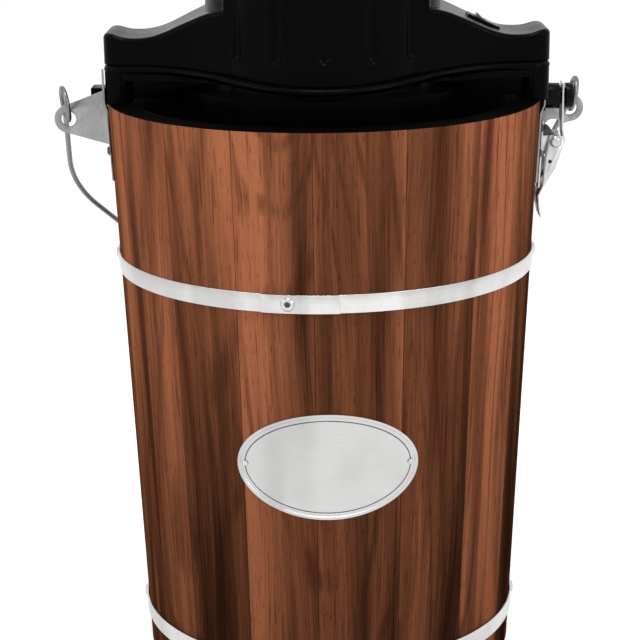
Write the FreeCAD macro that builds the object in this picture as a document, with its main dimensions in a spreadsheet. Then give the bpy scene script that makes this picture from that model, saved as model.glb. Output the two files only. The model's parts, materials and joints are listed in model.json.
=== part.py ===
import FreeCAD, Part
import math
import os

import Sketcher
from FreeCAD import Placement, Rotation
from FreeCAD import Vector as V

# Driving dimensions in mm and degrees, Z measured from the underside of the bucket
DIMS = {
    "rim_radius": 133,
    "base_radius": 118.2,
    "stave_top": 356.4,
    "wall": 13,
    "floor_thick": 14,
    "lip": 0.6,
    "liner_thick": 1.6,
    "skin_gap": 0.1,
    "hoop_thick": 1.2,
    "hoop_width": 11,
    "upper_hoop": 252.8,
    "lower_hoop": 20.5,
    "plate_thick": 1.2,
    "bracket_half": 25,
    "bracket_low": 309,
    "bracket_knee": 352,
    "bracket_lip": 134.9,
    "right_drop": 4.2,
    "ear_x": 155,
    "ear_z": 347.5,
    "ear_radius": 8.7,
    "ear_hole": 4.5,
    "eye_x": 156.8,
    "eye_z": 356.4,
    "eye_radius": 9.65,
    "wire_radius": 1.65,
    "grip_radius": 10,
    "can_radius": 80,
    "can_wall": 1,
    "can_base": 22,
    "can_top": 340,
    "stem_side": 12,
    "head_half": 136.5,
    "left_short": 3.6,
    "head_floor": 359,
    "post_inset": 0.6,
    "band_low": 370.8,
    "flange_low": 374.9,
    "skirt_low": 345.5,
    "ledge": 379.5,
    "bulge_radius": 80,
    "skirt_radius": 89,
    "seam_dip": 7.5,
    "seam_half": 110,
    "tower_radius": 73,
    "tower_top": 462,
    "shell_wall": 3.5,
    "gear_module": 0.8,
    "gear_centre": 24,
    "shaft_radius": 3,
    "catch_z": 354.7,
    "latch_x": 142.3,
    "latch_z": 328,
    "pin_radius": 2,
    "switch_x": 97,
    "switch_z": 400.4,
    "switch_tilt": 24,
}

FRONT_SEAMS = (-43.6, -23.4, -3, 20.3, 42)
BACK_STAVES = 13
BIG_TEETH = 48
SMALL_TEETH = 12
PRESSURE = math.radians(25)
BACKLASH = 0.12
LEAN = math.radians(49)
EYE_LEAN = math.radians(11)
ROCKER_LIFT = 0.6

doc = FreeCAD.newDocument("ice_cream_maker")
sheet = doc.addObject("Spreadsheet::Sheet", "dims")
for row, (alias, value) in enumerate(DIMS.items(), 1):
    sheet.set(f"A{row}", alias)
    sheet.set(f"B{row}", str(value))
    sheet.setAlias(f"B{row}", alias)
doc.recompute()


class Size:
    """A number together with the sheet expression that drives it."""

    def __init__(self, value, text):
        self.value = value
        self.text = text

    def joined(self, other, sign, back=False):
        a, b = (of(other), self) if back else (self, of(other))
        value = {"+": a.value + b.value, "-": a.value - b.value, "*": a.value * b.value}[sign]
        return Size(value, f"({a.text} {sign} {b.text})")

    def __add__(self, other):
        return self.joined(other, "+")

    def __radd__(self, other):
        return self.joined(other, "+", True)

    def __sub__(self, other):
        return self.joined(other, "-")

    def __rsub__(self, other):
        return self.joined(other, "-", True)

    def __mul__(self, other):
        return self.joined(other, "*")

    def __rmul__(self, other):
        return self.joined(other, "*", True)

    def __neg__(self):
        return Size(-self.value, f"(-1 * {self.text})")


def of(number):
    """Any plain number as a Size."""
    return number if isinstance(number, Size) else Size(float(number), repr(float(number)))


D = {name: Size(float(value), f"dims.{name}") for name, value in DIMS.items()}
SLOPE = (DIMS["rim_radius"] - DIMS["base_radius"]) / DIMS["stave_top"]
NODES = []


def bind(target, prop, size):
    """Sets a property from the sheet."""
    size = of(size)
    target.setExpression(prop, size.text)


def node(thing, name):
    """Marks an object as one exported sub-part."""
    thing.Label = name
    NODES.append(thing)
    return thing


def outside(z):
    """Radius of the staves' outer face at a height."""
    return D["base_radius"] + SLOPE * of(z)


def inside(z):
    """Radius of the staves' inner face at a height."""
    return outside(z) - D["wall"]


# Sketches and bodies
def new_body(name):
    return doc.addObject("PartDesign::Body", name)


def plane(body, role):
    for part in body.Origin.OriginFeatures:
        if part.Role == role:
            return part
    raise ValueError(role)


def new_sketch(body, role, lift=0):
    sketch = body.newObject("Sketcher::SketchObject", body.Name + "_sketch")
    sketch.AttachmentSupport = [(plane(body, role), "")]
    sketch.MapMode = "FlatFace"
    if of(lift).value:
        bind(sketch, "AttachmentOffset.Base.z", lift)
    return sketch


def hold(sketch, kind, geo, pos, size):
    """Pins one coordinate of a point to the sheet."""
    size = of(size)
    if abs(size.value) < 1e-9:
        axis = -2 if kind == "DistanceX" else -1
        sketch.addConstraint(Sketcher.Constraint("PointOnObject", geo, pos, axis))
        return
    index = sketch.addConstraint(Sketcher.Constraint(kind, -1, 1, geo, pos, size.value))
    sketch.setExpression(f"Constraints[{index}]", size.text)


def polygon(sketch, corners):
    """A closed outline whose every corner is held by the sheet."""
    spots = [V(of(x).value, of(y).value, 0) for x, y in corners]
    count = len(spots)
    first = sketch.GeometryCount
    for i in range(count):
        sketch.addGeometry(Part.LineSegment(spots[i], spots[(i + 1) % count]))
    for i in range(count):
        after = first + (i + 1) % count
        sketch.addConstraint(Sketcher.Constraint("Coincident", first + i, 2, after, 1))
    for i, (x, y) in enumerate(corners):
        hold(sketch, "DistanceX", first + i, 1, x)
        hold(sketch, "DistanceY", first + i, 1, y)


def disc(sketch, x, y, radius):
    """A circle held by the sheet."""
    geo = sketch.addGeometry(Part.Circle(V(of(x).value, of(y).value, 0), V(0, 0, 1), of(radius).value))
    hold(sketch, "DistanceX", geo, 3, x)
    hold(sketch, "DistanceY", geo, 3, y)
    index = sketch.addConstraint(Sketcher.Constraint("Radius", geo, of(radius).value))
    sketch.setExpression(f"Constraints[{index}]", of(radius).text)


def oblong(sketch, half_x, half_y, mid_x=0):
    """A rectangle centred on the X axis."""
    corners = [(-1, -1), (1, -1), (1, 1), (-1, 1)]
    polygon(sketch, [(of(mid_x) + sx * of(half_x), sy * of(half_y)) for sx, sy in corners])


def feature(body, kind, sketch, **values):
    """Adds one feature and makes it the tip."""
    thing = body.newObject("PartDesign::" + kind, body.Name + "_" + kind.lower())
    thing.Profile = sketch
    if kind in ("Revolution", "Groove"):
        thing.ReferenceAxis = (sketch, ["V_Axis"])
    for prop, value in values.items():
        if isinstance(value, Size):
            bind(thing, prop, value)
        else:
            setattr(thing, prop, value)
    body.Tip = thing
    return thing


def pad(body, draw, low, high, kind="Pad"):
    """Pads or pockets an XY outline between two heights."""
    start = low if kind == "Pad" else high
    sketch = new_sketch(body, "XY_Plane", start)
    draw(sketch)
    return feature(body, kind, sketch, Length=of(high) - of(low))


def sided(body, corners, half, kind="Pad"):
    """Pads an XZ outline evenly to both sides of the XZ plane."""
    sketch = new_sketch(body, "XZ_Plane")
    polygon(sketch, corners)
    return feature(body, kind, sketch, Length=2 * of(half), Midplane=True)


def turned(name, corners, angle=360):
    """A body turned about Z from an outline of radius and height."""
    body = new_body(name)
    sketch = new_sketch(body, "XZ_Plane")
    polygon(sketch, corners)
    feature(body, "Revolution", sketch, Angle=angle)
    return body


def rounded(body, radius, test):
    """Rounds the tip's edges that pass a test."""
    doc.recompute()
    tip = body.Tip
    names = [f"Edge{i}" for i, e in enumerate(tip.Shape.Edges, 1) if test(e)]
    if not names:
        raise ValueError(f"{body.Name}: no edge to round")
    thing = body.newObject("PartDesign::Fillet", body.Name + "_round")
    thing.Base = (tip, names)
    bind(thing, "Radius", radius)
    body.Tip = thing
    return thing


def upright(edge):
    """True for a straight edge along Z."""
    if not isinstance(edge.Curve, Part.Line):
        return False
    return abs(abs(edge.tangentAt(edge.FirstParameter).z) - 1) < 1e-6


# Primitives
def block(name, low, high):
    """A box between two corners."""
    thing = doc.addObject("Part::Box", name)
    for prop, axis in (("Length", 0), ("Width", 1), ("Height", 2)):
        bind(thing, prop, of(high[axis]) - of(low[axis]))
    for axis, letter in enumerate("xyz"):
        bind(thing, f"Placement.Base.{letter}", low[axis])
    return thing


def rod(name, radius, length, place):
    """A cylinder along the local Z of a placement."""
    thing = doc.addObject("Part::Cylinder", name)
    bind(thing, "Radius", radius)
    bind(thing, "Height", length)
    thing.Placement = place
    return thing


def facing(direction, spot):
    """A placement whose local Z points along a direction."""
    return Placement(spot, Rotation(V(0, 0, 1), direction))


def stud(name, head, height, shank, length, place):
    """A domed head with a plain shank behind it."""
    cap = doc.addObject("Part::Cone", name + "_cap")
    bind(cap, "Radius1", head)
    bind(cap, "Radius2", 0.55 * of(head))
    bind(cap, "Height", height)
    cap.Placement = place
    below = place.multiply(Placement(V(0, 0, -of(length).value), Rotation()))
    stem = rod(name + "_stem", shank, length, below)
    return merged(name, [cap, stem])


def merged(name, things):
    thing = doc.addObject("Part::MultiFuse", name)
    thing.Shapes = things
    return thing


def less(name, base, tools):
    """Cuts tools out of a base."""
    tool = tools[0] if len(tools) == 1 else merged(name + "_tools", tools)
    thing = doc.addObject("Part::Cut", name)
    thing.Base = base
    thing.Tool = tool
    return thing


def group(name, things):
    """Separate solids kept together as one sub-part."""
    thing = doc.addObject("Part::Compound", name)
    thing.Links = things
    return thing


def front(degrees, radius, z):
    """A point at an azimuth counted from the front, positive to the right."""
    a = math.radians(degrees - 90)
    return V(radius * math.cos(a), radius * math.sin(a), z)


def radial(degrees):
    return front(degrees, 1, 0)


# Bucket
lip_top = D["stave_top"] + D["lip"]
back_step = (360 + FRONT_SEAMS[0] - FRONT_SEAMS[-1]) / BACK_STAVES
seams = list(FRONT_SEAMS) + [FRONT_SEAMS[-1] + back_step * k for k in range(1, BACK_STAVES + 1)]
for number, (first, last) in enumerate(zip(seams, seams[1:])):
    name = f"stave_{number + 1:02d}"
    corners = [(inside(0), 0), (outside(0), 0), (D["rim_radius"], D["stave_top"]),
               (inside(D["stave_top"]), D["stave_top"])]
    stave = turned(name, corners, last - first - 0.06)
    stave.Placement = Placement(V(), Rotation(V(0, 0, 1), first - 90))
    node(stave, name)

floor_edge = inside(0) - 0.05
floor_rise = SLOPE * D["floor_thick"]
node(turned("bucket_floor", [(0, 0), (floor_edge, 0), (floor_edge + floor_rise, D["floor_thick"]),
                             (0, D["floor_thick"])]), "bucket_floor")


def hoop(name, low, turn):
    """A tapered band with a lapped end."""
    high = low + D["hoop_width"]
    layers = [(outside(low) + 0.08, outside(high) + 0.08)]
    layers.append(tuple(r + D["hoop_thick"] for r in layers[0]))
    body = new_body(name)
    for (r_low, r_high), angle in zip(layers, (360, 20)):
        sketch = new_sketch(body, "XZ_Plane")
        polygon(sketch, [(r_low, low), (r_low + D["hoop_thick"], low),
                         (r_high + D["hoop_thick"], high), (r_high, high)])
        feature(body, "Revolution", sketch, Angle=angle)
    body.Placement = Placement(V(), Rotation(V(0, 0, 1), turn))
    return node(body, name)


hoop("upper_hoop", D["upper_hoop"], -106.5)
hoop("lower_hoop", D["lower_hoop"], 80)

heads = []
for hoop_name, azimuth, layers in (("upper_hoop", -9.6, 2), ("upper_hoop", 90, 1), ("upper_hoop", -90, 1),
                                   ("lower_hoop", 90, 1), ("lower_hoop", -90, 1), ("lower_hoop", 176, 2)):
    z = DIMS[hoop_name] + DIMS["hoop_width"] / 2
    reach = outside(z).value + 0.08 + layers * DIMS["hoop_thick"]
    place = facing(radial(azimuth), front(azimuth, reach, z))
    heads.append(stud(f"hoop_rivet_{len(heads) + 1}", 4.2, 1.8, 1.5, 8, place))
node(group("hoop_rivets", heads), "hoop_rivets")

skin = D["skin_gap"]
lined = skin + D["liner_thick"]
lined_floor = D["floor_thick"] + D["liner_thick"]
node(turned("bucket_liner", [
    (0, D["floor_thick"]), (inside(D["floor_thick"]) - skin, D["floor_thick"]),
    (inside(D["stave_top"]) - skin, D["stave_top"]), (D["rim_radius"], D["stave_top"]),
    (D["rim_radius"], lip_top), (inside(D["stave_top"]) - lined, lip_top),
    (inside(lined_floor) - lined, lined_floor), (0, lined_floor)]), "bucket_liner")

node(turned("can_pivot", [(0, lined_floor), (20, lined_floor), (20, lined_floor + 2.4),
                          (6.6, lined_floor + 4.4),
                          (5.2, lined_floor + 13.4), (3.5, lined_floor + 14.4), (0, lined_floor + 14.4)]),
     "can_pivot")

# Nameplate, bent round the front
plate_z = 158.5
band = new_body("plate_band")
band_sketch = new_sketch(band, "XZ_Plane")
plate_low, plate_high = plate_z - 40, plate_z + 40
polygon(band_sketch, [(outside(plate_low) + 0.05, plate_low), (outside(plate_low) + 1.05, plate_low),
                      (outside(plate_high) + 1.05, plate_high), (outside(plate_high) + 0.05, plate_high)])
feature(band, "Revolution", band_sketch, Angle=70)
band.Placement = Placement(V(), Rotation(V(0, 0, 1), -125))
oval = doc.addObject("Part::Ellipse", "plate_oval")
oval.MajorRadius = 52.6
oval.MinorRadius = 33
oval.Placement = Placement(V(0, -100, plate_z), Rotation(V(1, 0, 0), 90))
prism = doc.addObject("Part::Extrusion", "plate_prism")
prism.Base = oval
prism.DirMode = "Custom"
prism.Dir = V(0, -1, 0)
prism.LengthFwd = 40
prism.Solid = True
plate = doc.addObject("Part::Common", "nameplate")
plate.Base = band
plate.Tool = prism
node(plate, "nameplate")

pins = []
for azimuth in (-22.7, 22.7):
    reach = outside(plate_z).value + 1.05
    pins.append(stud(f"plate_pin_{len(pins) + 1}", 1.9, 0.9, 0.7, 6,
                     facing(radial(azimuth), front(azimuth, reach, plate_z))))
node(group("nameplate_pins", pins), "nameplate_pins")


# Brackets, pressings that follow the bucket's side, each with an ear for the bail
NOTCH_HALF = 8.8


def bracket(name, turn, drop, top, notch_low, rise, scoop):
    thick = D["plate_thick"]
    low, knee = D["bracket_low"] - drop, D["bracket_knee"] - drop
    radii = [(outside(low) + skin, low), (outside(knee) + skin, knee), (D["bracket_lip"], knee + 5),
             (D["bracket_lip"], top)]
    half_turn = math.degrees(math.asin(DIMS["bracket_half"] / DIMS["rim_radius"]))
    flange = turned(name + "_flange", radii + [(r + thick, z) for r, z in radii[::-1]], 2 * half_turn)
    flange.Placement = Placement(V(), Rotation(V(0, 0, 1), -half_turn))
    ear = new_body(name + "_ear")
    end = D["ear_radius"]
    ex, ez = D["ear_x"], D["ear_z"] - drop
    sided(ear, [(130.6, ez - 16), (ex + 1.2, ez - 0.985 * end), (ex + 1.2, ez + 0.985 * end),
                (133.3, ez + rise), (133.3, knee + 5.5), (131.2, knee)], thick * 0.5)
    ear.Placement = Placement(V(0, DIMS["bracket_half"] - DIMS["plate_thick"] / 2, 0), Rotation())
    across = Rotation(V(0, 0, 1), V(0, 1, 0))
    at_ear = V(ex.value, DIMS["bracket_half"] - DIMS["plate_thick"], ez.value)
    boss = rod(name + "_end", end, thick, Placement(at_ear, across))
    solid = merged(name + "_solid", [flange, ear, boss])
    hole = rod(name + "_hole", D["ear_hole"], thick + 8, Placement(at_ear - V(0, 4, 0), across))
    notch = block(name + "_notch", (120, -NOTCH_HALF, notch_low), (145, NOTCH_HALF, 380))
    cuts = [hole, notch]
    if scoop:
        scoop_spot = V(145, at_ear.y - 4, at_ear.z - 13)
        cuts.append(rod(name + "_scoop", scoop, thick + 8, Placement(scoop_spot, across)))
    cut = less(name + "_cut", solid, cuts)
    holder = doc.addObject("Part::Compound", name)
    holder.Links = [cut]
    holder.Placement = Placement(V(), Rotation(V(0, 0, 1), turn))
    return node(holder, name)


bracket("bracket_right", 0, D["right_drop"], 356.2, 345.2, 13.5, 5.8)
bracket("bracket_left", 180, of(0), 375.5, 349.9, 17.1, 0)

heads = []
for side, drop in ((-1, 0), (1, DIMS["right_drop"])):
    for lift in (17.5, 33):
        for swing in (-7.8, 7.8):
            z = DIMS["bracket_low"] + lift - drop
            azimuth = side * 90 + swing
            reach = (outside(z) + skin + D["plate_thick"]).value
            heads.append(stud(f"bracket_rivet_{len(heads) + 1}", 3.2, 1.5, 1.6, 9,
                              facing(radial(azimuth), front(azimuth, reach, z))))
node(group("bracket_rivets", heads), "bracket_rivets")

# Latch
along_y = Rotation(V(0, 0, 1), V(0, 1, 0))
lx, lz = D["latch_x"], D["latch_z"]
LATCH_HALF, BACK_THICK, BACK_LOW, BACK_HIGH = 11, 1.1, 299, 341


def back_face(z):
    """Where the latch's back plate touches the bracket."""
    return outside(z) + D["plate_thick"] + skin + 0.05


latch_back = new_body("latch_back")
sided(latch_back, [(back_face(BACK_LOW), BACK_LOW), (back_face(BACK_LOW) + BACK_THICK, BACK_LOW),
                   (back_face(BACK_HIGH) + BACK_THICK, BACK_HIGH), (back_face(BACK_HIGH), BACK_HIGH)],
      LATCH_HALF)
lugs = []
for side in (-1, 1):
    low, high = sorted((side * 8.0, side * 9.2))
    inner = (back_face(lz) + 0.6, low, lz - 6)
    lugs.append(block(f"latch_lug_{side + 2}", inner, (lx + 3.5, high, lz + 3.5)))
pin_hole = rod("latch_pin_hole", D["pin_radius"] + 0.05, 30,
               Placement(V(DIMS["latch_x"], -15, DIMS["latch_z"]), along_y))
node(less("latch_base", merged("latch_base_solid", [latch_back] + lugs), [pin_hole]), "latch_base")

BARREL_RADIUS, BARREL_Z = 3.1, 332.8
barrel_x = (back_face(BARREL_Z + 1) + BACK_THICK + BARREL_RADIUS).value
barrel_place = Placement(V(barrel_x, -7.6, BARREL_Z), along_y)
node(rod("latch_barrel", BARREL_RADIUS, 15.2, barrel_place), "latch_barrel")

lever_cheeks = new_body("lever_cheeks")
sided(lever_cheeks, [(lx - 4, lz + 4), (lx + 4.4, lz + 3.4), (lx + 5.4, lz - 0.6), (lx + 0.4, lz - 16.8),
                     (lx - 6.2, lz - 27.8), (lx - 7.3, lz - 27.2), (lx - 6.7, lz - 10), (lx - 5, lz - 1)],
      LATCH_HALF)
between = block("lever_between", (lx - 20, -9.8, lz - 60), (lx + 20, 9.8, lz + 20))
pin_seat = rod("lever_pin_seat", D["pin_radius"], 30,
               Placement(V(DIMS["latch_x"], -15, DIMS["latch_z"]), along_y))
punched = rod("lever_punched", 1.1, 30,
              Placement(V(DIMS["latch_x"] - 3.2, -15, DIMS["latch_z"] - 12.5), along_y))
sides = less("lever_sides", lever_cheeks, [between, pin_seat, punched])
web = new_body("lever_web")
sided(web, [(lx + 2.62, lz - 9.6), (lx + 0.4, lz - 16.8), (lx - 6.2, lz - 27.8), (lx - 9.4, lz - 34.2),
            (lx - 9, lz - 40), (lx - 7.6, lz - 47.4), (lx - 8.7, lz - 47.7), (lx - 10.1, lz - 40),
            (lx - 10.5, lz - 34), (lx - 7.2, lz - 27.2), (lx - 0.7, lz - 16.3), (lx + 1.4, lz - 9.6)],
      LATCH_HALF)
node(merged("latch_lever", [sides, web]), "latch_lever")

pin = rod("lever_pin_shaft", D["pin_radius"], 23,
          Placement(V(DIMS["latch_x"], -11.5, DIMS["latch_z"]), along_y))
caps = []
for side in (-1, 1):
    cap = doc.addObject("Part::Cone", f"lever_pin_cap_{side + 2}")
    bind(cap, "Radius1", 3.9)
    bind(cap, "Radius2", 2.4)
    bind(cap, "Height", 1.8)
    cap.Placement = facing(V(0, side, 0), V(DIMS["latch_x"], side * LATCH_HALF, DIMS["latch_z"]))
    caps.append(cap)
node(merged("lever_pin", [pin] + caps), "lever_pin")

strap_plate = new_body("strap_plate")
sx, catch = D["latch_x"] + 3.9, D["catch_z"]
sided(strap_plate, [(sx, catch + 8.4), (sx + 1.2, catch + 8.4), (sx + 1.2, lz + 7), (sx + 2.9, lz - 1),
                    (sx + 1.7, lz - 1.3), (sx, lz + 6.8)], 7)
neck_hole = rod("strap_hole", 5.4, 10, facing(V(1, 0, 0), V(sx.value - 4, 0, DIMS["catch_z"])))
node(less("latch_strap", strap_plate, [neck_hole]), "latch_strap")

# Bail, whose eyes turn about their own centres through the ears
eye_y = DIMS["bracket_half"] - DIMS["plate_thick"] / 2
eyes = {-1: V(-DIMS["eye_x"], -eye_y, DIMS["eye_z"]),
        1: V(DIMS["eye_x"], eye_y, DIMS["eye_z"] - DIMS["right_drop"])}
bail_centre = (eyes[-1] + eyes[1]) * 0.5
half_span = (eyes[1] - bail_centre).Length
axis_u = (eyes[1] - bail_centre).normalize()
axis_n = V(0, 0, 1).cross(axis_u).normalize()
axis_w = axis_u.cross(axis_n)
leg = axis_n * math.sin(LEAN) - axis_w * math.cos(LEAN)
KNEE = (half_span - 3.85, 99)
BOW = (half_span - 43.5, 165)
GRIP_END = (62, 212)


def bail_spot(side, spot):
    """A point in the bail's plane, along the axis and away from it."""
    return bail_centre + axis_u * (side * spot[0]) + leg * spot[1]


def bail_side(side):
    """Wire points from the eye to the grip on one side."""
    return [eyes[side] + leg * DIMS["eye_radius"]] + [bail_spot(side, spot) for spot in (KNEE, BOW, GRIP_END)]


def eye(side):
    """The ring at one end of the wire, leaning outwards at its top."""
    ring = doc.addObject("Part::Torus", "bail_eye_left" if side < 0 else "bail_eye_right")
    bind(ring, "Radius1", D["eye_radius"])
    bind(ring, "Radius2", D["wire_radius"])
    lean = -side * EYE_LEAN
    ring.Placement = facing(axis_u * math.cos(lean) + axis_u.cross(leg) * math.sin(lean), eyes[side])
    return ring


def bent_wire(points, radii):
    """Straight runs joined by arcs."""
    edges = []
    start = points[0]
    for before, here, after, radius in zip(points, points[1:], points[2:], radii):
        a = (before - here).normalize()
        b = (after - here).normalize()
        half = a.getAngle(b) / 2
        back_off = radius / math.tan(half)
        middle = (a + b).normalize()
        centre = here + middle * (radius / math.sin(half))
        p, q = here + a * back_off, here + b * back_off
        edges.append(Part.LineSegment(start, p).toShape())
        edges.append(Part.Arc(p, centre - middle * radius, q).toShape())
        start = q
    edges.append(Part.LineSegment(start, points[-1]).toShape())
    return Part.Wire(edges)


left = bail_side(-1)
spots = left + bail_side(1)[::-1]
wire = bent_wire(spots, [130, 60, 14, 14, 60, 130])
circle = Part.Wire(Part.makeCircle(DIMS["wire_radius"], left[0], left[1] - left[0]))
bow = doc.addObject("Part::Feature", "bail_bow")
bow.Shape = wire.makePipeShell([circle], True, False)
node(merged("bail_wire", [bow, eye(-1), eye(1)]), "bail_wire")

grip_mid = bail_spot(1, (0, GRIP_END[1]))
grip_body = turned("bail_grip_body", [(D["wire_radius"] + 0.1, -48), (8, -48), (D["grip_radius"], -36),
                                      (D["grip_radius"], 36), (8, 48), (D["wire_radius"] + 0.1, 48)])
grip_body.Placement = facing(axis_u, grip_mid)
node(grip_body, "bail_grip")

# Canister, lid and drive hub
cr, cb, ct, cw = D["can_radius"], D["can_base"], D["can_top"], D["can_wall"]
node(turned("canister_can", [
    (0, cb + 8.6), (6, cb + 8.6), (8, cb), (cr - 4, cb), (cr, cb + 4), (cr, ct - 2), (cr + 2.5, ct - 2),
    (cr + 2.5, ct), (cr - cw, ct), (cr - cw, cb + 4.5), (cr - 4.5, cb + 1.2), (8.8, cb + 1.2), (6.8, cb + 9.8),
    (0, cb + 9.8)]),
    "canister_can")
node(turned("canister_lid", [
    (9.5, ct + 4), (44, ct + 4), (52, ct), (cr + 2.9, ct), (cr + 2.9, ct - 7), (cr + 4.1, ct - 7),
    (cr + 4.1, ct + 1.4), (52.6, ct + 1.4), (44.6, ct + 5.4), (9.5, ct + 5.4)]), "canister_lid")


def hexagon(name, radius, low, high):
    thing = doc.addObject("Part::Prism", name)
    thing.Polygon = 6
    bind(thing, "Circumradius", radius)
    bind(thing, "Height", of(high) - of(low))
    bind(thing, "Placement.Base.z", low)
    return thing


upward = Rotation()
hub_foot = rod("hub_foot", 30, 2.4, Placement(V(0, 0, DIMS["can_top"] + 5.4), upward))
hub_hex = hexagon("hub_hex", 16, ct + 5.4, ct + 18)
hub_bore = rod("hub_bore", 9.5, 40, Placement(V(0, 0, DIMS["can_top"] - 5), upward))
node(less("lid_hub", merged("hub_solid", [hub_foot, hub_hex]), [hub_bore]), "lid_hub")

half = 0.5 * D["stem_side"]
pieces = [block("dasher_stem", (-half, -half, 34), (half, half, 383))]
for number, low in enumerate((40, 130, 220, 308)):
    pieces.append(block(f"dasher_arm_{number + 1}", (-74, -2, low), (74, 2, low + 14)))
for side in (-1, 1):
    low, high = sorted((side * (cr.value - cw.value - 0.7), side * 66))
    pieces.append(block(f"dasher_blade_{side + 2}", (low, -3, 34), (high, 3, 330)))
node(merged("dasher", pieces), "dasher")

# Head base
hh, hf, fl, lg = D["head_half"], D["head_floor"], D["flange_low"], D["ledge"]
bl, dip = D["band_low"], D["seam_dip"]
head_ends = {1: hh, -1: hh - D["left_short"]}
mean_half = hh - 0.5 * D["left_short"]


def arms(sketch, inset, wide=0):
    """Plan of both arms, flaring towards the tower."""
    spots = ((1, 24.5), (0.66, 30), (0.39, 49))
    ends = (head_ends[1], head_ends[-1])
    right, left = ([(end * k - inset, wide + y - inset) for k, y in spots] for end in ends)
    polygon(sketch, [(x, -1 * y) for x, y in right[::-1]] + right + [(-1 * x, y) for x, y in left[::-1]]
            + [(-1 * x, -1 * y) for x, y in left])


def seam(body, lift, side):
    """Cuts a body along the seam, which dips under the tower, and drops what lies above it or below it."""
    level = DIMS["ledge"] + lift
    points = []
    for x in range(-150, 151, 10):
        share = min(1, abs(x) / DIMS["seam_half"])
        points.append(V(x, level - DIMS["seam_dip"] * math.cos(share * math.pi / 2) ** 2, 0))
    sketch = new_sketch(body, "XZ_Plane")
    curve = Part.BSplineCurve()
    curve.interpolate(points)
    sketch.addGeometry(curve)
    far = level + side * 80
    loop = [points[-1], V(150, far, 0), V(-150, far, 0), points[0]]
    for a, b in zip(loop, loop[1:]):
        sketch.addGeometry(Part.LineSegment(a, b))
    feature(body, "Pocket", sketch, Length=240, Midplane=True)


def base_layer(name, inset, disc_low, arm_low):
    """One layer of the base's outline: a disc with an arm to each side."""
    layer = new_body(name)
    pad(layer, lambda s: disc(s, 0, 0, D["bulge_radius"] - inset), disc_low, lg)
    pad(layer, lambda s: arms(s, inset, 4.5), arm_low, lg)
    rounded(layer, 110, lambda e: upright(e) and 80 < abs(e.CenterOfMass.x) < 100)
    rounded(layer, 22, lambda e: upright(e) and 40 < abs(e.CenterOfMass.x) < 80)
    rounded(layer, 11 - inset, lambda e: upright(e) and abs(e.CenterOfMass.x) > 125)
    return layer


bead = base_layer("base_bead", 0, fl - dip, fl - dip)
seam(bead, 0, 1)
seam(bead, DIMS["flange_low"] - DIMS["ledge"], -1)
rounded(bead, 2.2, lambda e: not upright(e))
pad(bead, lambda s: disc(s, 0, 0, 66), fl - dip, lg, "Pocket")
base = base_layer("base_body", 1.6, bl - dip, bl)
seam(base, 0.5 * (DIMS["flange_low"] - DIMS["ledge"]), 1)
pad(base, lambda s: disc(s, 0, 0, D["skirt_radius"]), D["skirt_low"], hf + 7)
pad(base, lambda s: disc(s, 0, 0, D["skirt_radius"] - 3.4), D["skirt_low"], hf, "Pocket")
pad(base, lambda s: oblong(s, mean_half - 17, 21, 0.5 * D["left_short"]), hf, bl)
posts = []
for side, end in head_ends.items():
    post = new_body(f"base_post_{len(posts) + 1}")
    pad(post, lambda s: oblong(s, 8, 29.4, side * (end - 8 - D["post_inset"])), lip_top, lg - 2.4)
    rounded(post, 7.6, upright)
    posts.append(post)
spool_foot = hh - D["post_inset"]
posts.append(block("spool_boss", (D["rim_radius"] + 0.9, -8, D["catch_z"] - 8), (spool_foot, 8, lip_top + 1)))
pad(base, lambda s: disc(s, 0, 0, 66), hf + 3, lg, "Pocket")
for x in (-48, 48):
    for y in (-30, 30):
        pad(base, lambda s: disc(s, x, y, 4.5), hf + 3, 384)
        pad(base, lambda s: disc(s, x, y, 2.1), 368, 384, "Pocket")
pad(base, lambda s: disc(s, 0, 0, 20.06), hf, hf + 3, "Pocket")
pad(base, lambda s: disc(s, 0, D["gear_centre"], D["shaft_radius"] + 0.06), hf, hf + 3, "Pocket")
node(merged("head_base", [base, bead] + posts), "head_base")

# Head shell
tr, tt, sw = D["tower_radius"], D["tower_top"], D["shell_wall"]
shell = new_body("shell_body")


foot = lg - dip
pad(shell, lambda s: arms(s, 0), foot, 425)
rounded(shell, 9, lambda e: upright(e) and abs(e.CenterOfMass.x) > 125)
rounded(shell, 110, lambda e: upright(e) and 80 < abs(e.CenterOfMass.x) < 100)

PROFILE = ((62, 56.8), (69, 55.4), (76, 53), (83, 49.9), (90, 46.7), (97, 43.4), (104, 40.7), (111, 39.1),
           (118, 38.7), (126, 39.7), (132, 41.4), (136, 40.8), (138.5, 37.2))
for side in (-1, 1):
    sketch = new_sketch(shell, "XZ_Plane")
    short = DIMS["head_half"] - head_ends[side].value
    points = [V(side * (x - short), lip_top.value + z, 0) for x, z in PROFILE]
    curve = Part.BSplineCurve()
    curve.interpolate(points)
    sketch.addGeometry(curve)
    top_in, top_out = V(points[0].x, 440, 0), V(side * 150, 440, 0)
    low_out = V(side * 150, points[-1].y, 0)
    for a, b in ((points[-1], low_out), (low_out, top_out), (top_out, top_in), (top_in, points[0])):
        sketch.addGeometry(Part.LineSegment(a, b))
    feature(shell, "Pocket", sketch, Length=120, Midplane=True)
rounded(shell, 3, lambda e: not upright(e) and e.BoundBox.ZMin > 390 and abs(e.CenterOfMass.x) > 75)

tower_sketch = new_sketch(shell, "XZ_Plane")
polygon(tower_sketch, [(0, foot), (tr, foot), (tr - 2, tt - 10), (tr - 5, tt - 4), (tr - 12, tt),
                       (0, tt + 2)])
feature(shell, "Revolution", tower_sketch, Angle=360)


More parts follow.
